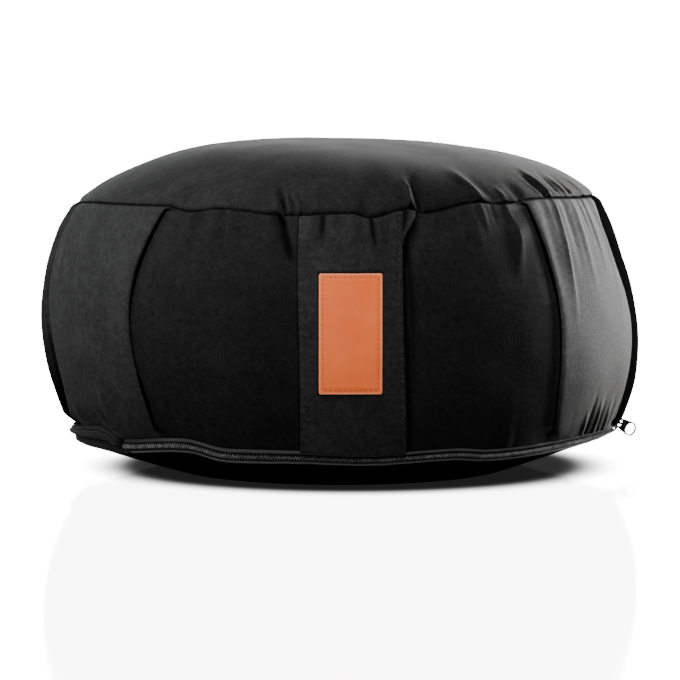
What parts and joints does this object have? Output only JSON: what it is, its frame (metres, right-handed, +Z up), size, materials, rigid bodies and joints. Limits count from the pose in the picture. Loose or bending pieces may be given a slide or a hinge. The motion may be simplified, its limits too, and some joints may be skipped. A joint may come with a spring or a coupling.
{
  "type": "zafu meditation cushion",
  "caption": "Round filled floor cushion with a domed top, a box-pleated side, a zip round the front of its foot, a wide sewn strap and a leather patch.",
  "frame": {"origin": "middle of the flat underside, on the floor", "axes": "+Z up from the floor, -Y out of the front where the strap and patch are, +X to the right of someone who faces the strap"},
  "size_m": [0.3637, 0.3617, 0.1992],
  "materials": {
    "canvas": "black cotton canvas, matt, fine plain weave",
    "leather": "tan vegetable-tanned leather, matt, stitched border",
    "zip_tape": "black woven polyester tape, ribbed",
    "zip_chain": "black nylon coil teeth",
    "zip_metal": "black lacquered die-cast metal"
  },
  "bodies": {
    "root": {"cushion_body": "canvas", "carry_strap": "canvas", "leather_patch": "leather", "zip_tape_upper": "zip_tape", "zip_tape_lower": "zip_tape", "zip_chain": "zip_chain", "zip_slider": "zip_metal", "zip_pull": "zip_metal"}
  },
  "joints": []
}
